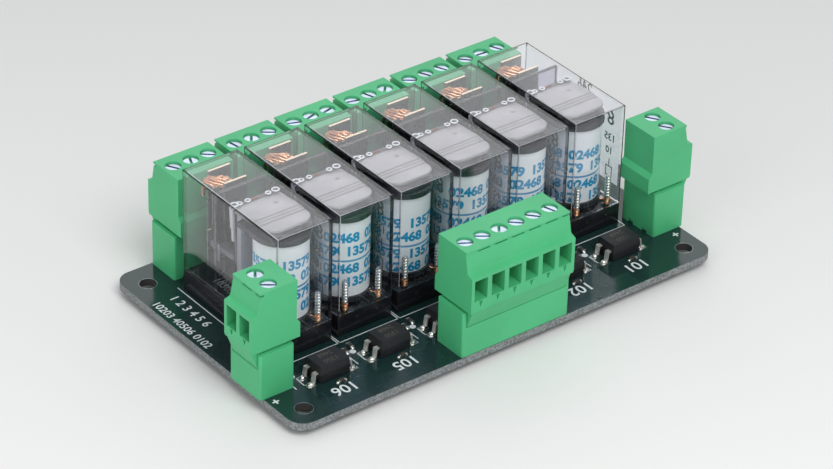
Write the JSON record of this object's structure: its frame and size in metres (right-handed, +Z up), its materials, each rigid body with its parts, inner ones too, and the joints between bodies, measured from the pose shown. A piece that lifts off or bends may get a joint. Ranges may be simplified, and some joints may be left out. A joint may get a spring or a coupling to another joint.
{
  "type": "relay module board",
  "caption": "Relay module board: clear-covered relays in a row, optocouplers and green pluggable screw terminals on three sides.",
  "frame": {"origin": "middle of the module on the plane that the pin tails stand on", "axes": "X along the row of relays, Y towards the three-pole terminals, Z up out of the board"},
  "size_m": [0.0998, 0.06, 0.0285],
  "materials": {
    "board_mask": "glossy dark green-black solder mask on glass-fibre laminate, white legend, grey cut edge",
    "terminal_green": "moulded green, faint sheen",
    "zinc": "bright zinc-plated screw, slotted",
    "cage_metal": "plated cage",
    "tinned": "tinned pin",
    "cover_clear": "clear moulded cover, thin",
    "base_black": "black moulded",
    "tape_white": "white winding tape with blue lines",
    "bobbin_dark": "dark moulded",
    "yoke_steel": "plated sheet steel",
    "armature_steel": "plated sheet steel, satin",
    "contact_copper": "copper alloy, folded copper lead",
    "contact_plate": "plated copper alloy",
    "opto_black": "black moulded body with tinned leads",
    "chip": "small chip parts with tinned ends"
  },
  "bodies": {
    "module": {"board": "board_mask", "header_6p": "terminal_green", "header_2p_left": "terminal_green", "header_2p_right": "terminal_green", "plug_6p": "terminal_green", "plug_2p_left": "terminal_green", "plug_2p_right": "terminal_green", "header_3p_1": "terminal_green", "plug_3p_1": "terminal_green", "header_3p_2": "terminal_green", "plug_3p_2": "terminal_green", "header_3p_3": "terminal_green", "plug_3p_3": "terminal_green", "header_3p_4": "terminal_green", "plug_3p_4": "terminal_green", "header_3p_5": "terminal_green", "plug_3p_5": "terminal_green", "header_3p_6": "terminal_green", "plug_3p_6": "terminal_green", "header_pins": "tinned", "clamp_screws": "zinc", "wire_clamps": "cage_metal", "relay_cover_1": "cover_clear", "relay_base_1": "base_black", "relay_coil_1": "tape_white", "relay_cover_2": "cover_clear", "relay_base_2": "base_black", "relay_coil_2": "tape_white", "relay_cover_3": "cover_clear", "relay_base_3": "base_black", "relay_coil_3": "tape_white", "relay_cover_4": "cover_clear", "relay_base_4": "base_black", "relay_coil_4": "tape_white", "relay_cover_5": "cover_clear", "relay_base_5": "base_black", "relay_coil_5": "tape_white", "relay_cover_6": "cover_clear", "relay_base_6": "base_black", "relay_coil_6": "tape_white", "relay_bobbins": "bobbin_dark", "relay_yokes": "yoke_steel", "coil_pins": "tinned", "rest_contacts": "contact_plate", "work_contacts": "contact_plate", "common_terminals": "contact_plate", "optocouplers": "opto_black", "chip_parts": "chip"},
    "armature_1": {"relay_armature_1": "armature_steel"},
    "contact_1": {"relay_contact_1": "contact_copper"},
    "armature_2": {"relay_armature_2": "armature_steel"},
    "contact_2": {"relay_contact_2": "contact_copper"},
    "armature_3": {"relay_armature_3": "armature_steel"},
    "contact_3": {"relay_contact_3": "contact_copper"},
    "armature_4": {"relay_armature_4": "armature_steel"},
    "contact_4": {"relay_contact_4": "contact_copper"},
    "armature_5": {"relay_armature_5": "armature_steel"},
    "contact_5": {"relay_contact_5": "contact_copper"},
    "armature_6": {"relay_armature_6": "armature_steel"},
    "contact_6": {"relay_contact_6": "contact_copper"}
  },
  "joints": [
    {"name": "armature_1_pivot", "type": "hinge", "parent": "module", "child": "armature_1", "pos_m": [0.03334, 0.0033, 0.026], "axis": [1, 0, 0], "range_deg": [0, 3.5], "stiffness_Nm_per_rad": 0.004, "springref_deg": -17.19},
    {"name": "contact_1_swing", "type": "hinge", "parent": "module", "child": "contact_1", "pos_m": [0.03334, 0.01255, 0.0082], "axis": [-1, 0, 0], "range_deg": [0, 5]},
    {"name": "armature_2_pivot", "type": "hinge", "parent": "module", "child": "armature_2", "pos_m": [0.02, 0.0033, 0.026], "axis": [1, 0, 0], "range_deg": [0, 3.5], "stiffness_Nm_per_rad": 0.004, "springref_deg": -17.19},
    {"name": "contact_2_swing", "type": "hinge", "parent": "module", "child": "contact_2", "pos_m": [0.02, 0.01255, 0.0082], "axis": [-1, 0, 0], "range_deg": [0, 5]},
    {"name": "armature_3_pivot", "type": "hinge", "parent": "module", "child": "armature_3", "pos_m": [0.00667, 0.0033, 0.026], "axis": [1, 0, 0], "range_deg": [0, 3.5], "stiffness_Nm_per_rad": 0.004, "springref_deg": -17.19},
    {"name": "contact_3_swing", "type": "hinge", "parent": "module", "child": "contact_3", "pos_m": [0.00667, 0.01255, 0.0082], "axis": [-1, 0, 0], "range_deg": [0, 5]},
    {"name": "armature_4_pivot", "type": "hinge", "parent": "module", "child": "armature_4", "pos_m": [-0.00667, 0.0033, 0.026], "axis": [1, 0, 0], "range_deg": [0, 3.5], "stiffness_Nm_per_rad": 0.004, "springref_deg": -17.19},
    {"name": "contact_4_swing", "type": "hinge", "parent": "module", "child": "contact_4", "pos_m": [-0.00667, 0.01255, 0.0082], "axis": [-1, 0, 0], "range_deg": [0, 5]},
    {"name": "armature_5_pivot", "type": "hinge", "parent": "module", "child": "armature_5", "pos_m": [-0.02, 0.0033, 0.026], "axis": [1, 0, 0], "range_deg": [0, 3.5], "stiffness_Nm_per_rad": 0.004, "springref_deg": -17.19},
    {"name": "contact_5_swing", "type": "hinge", "parent": "module", "child": "contact_5", "pos_m": [-0.02, 0.01255, 0.0082], "axis": [-1, 0, 0], "range_deg": [0, 5]},
    {"name": "armature_6_pivot", "type": "hinge", "parent": "module", "child": "armature_6", "pos_m": [-0.03334, 0.0033, 0.026], "axis": [1, 0, 0], "range_deg": [0, 3.5], "stiffness_Nm_per_rad": 0.004, "springref_deg": -17.19},
    {"name": "contact_6_swing", "type": "hinge", "parent": "module", "child": "contact_6", "pos_m": [-0.03334, 0.01255, 0.0082], "axis": [-1, 0, 0], "range_deg": [0, 5]}
  ],
  "couplings": [
    {"joint": "contact_1_swing", "follows": "armature_1_pivot", "ratio": 1.4},
    {"joint": "contact_2_swing", "follows": "armature_2_pivot", "ratio": 1.4},
    {"joint": "contact_3_swing", "follows": "armature_3_pivot", "ratio": 1.4},
    {"joint": "contact_4_swing", "follows": "armature_4_pivot", "ratio": 1.4},
    {"joint": "contact_5_swing", "follows": "armature_5_pivot", "ratio": 1.4},
    {"joint": "contact_6_swing", "follows": "armature_6_pivot", "ratio": 1.4}
  ]
}
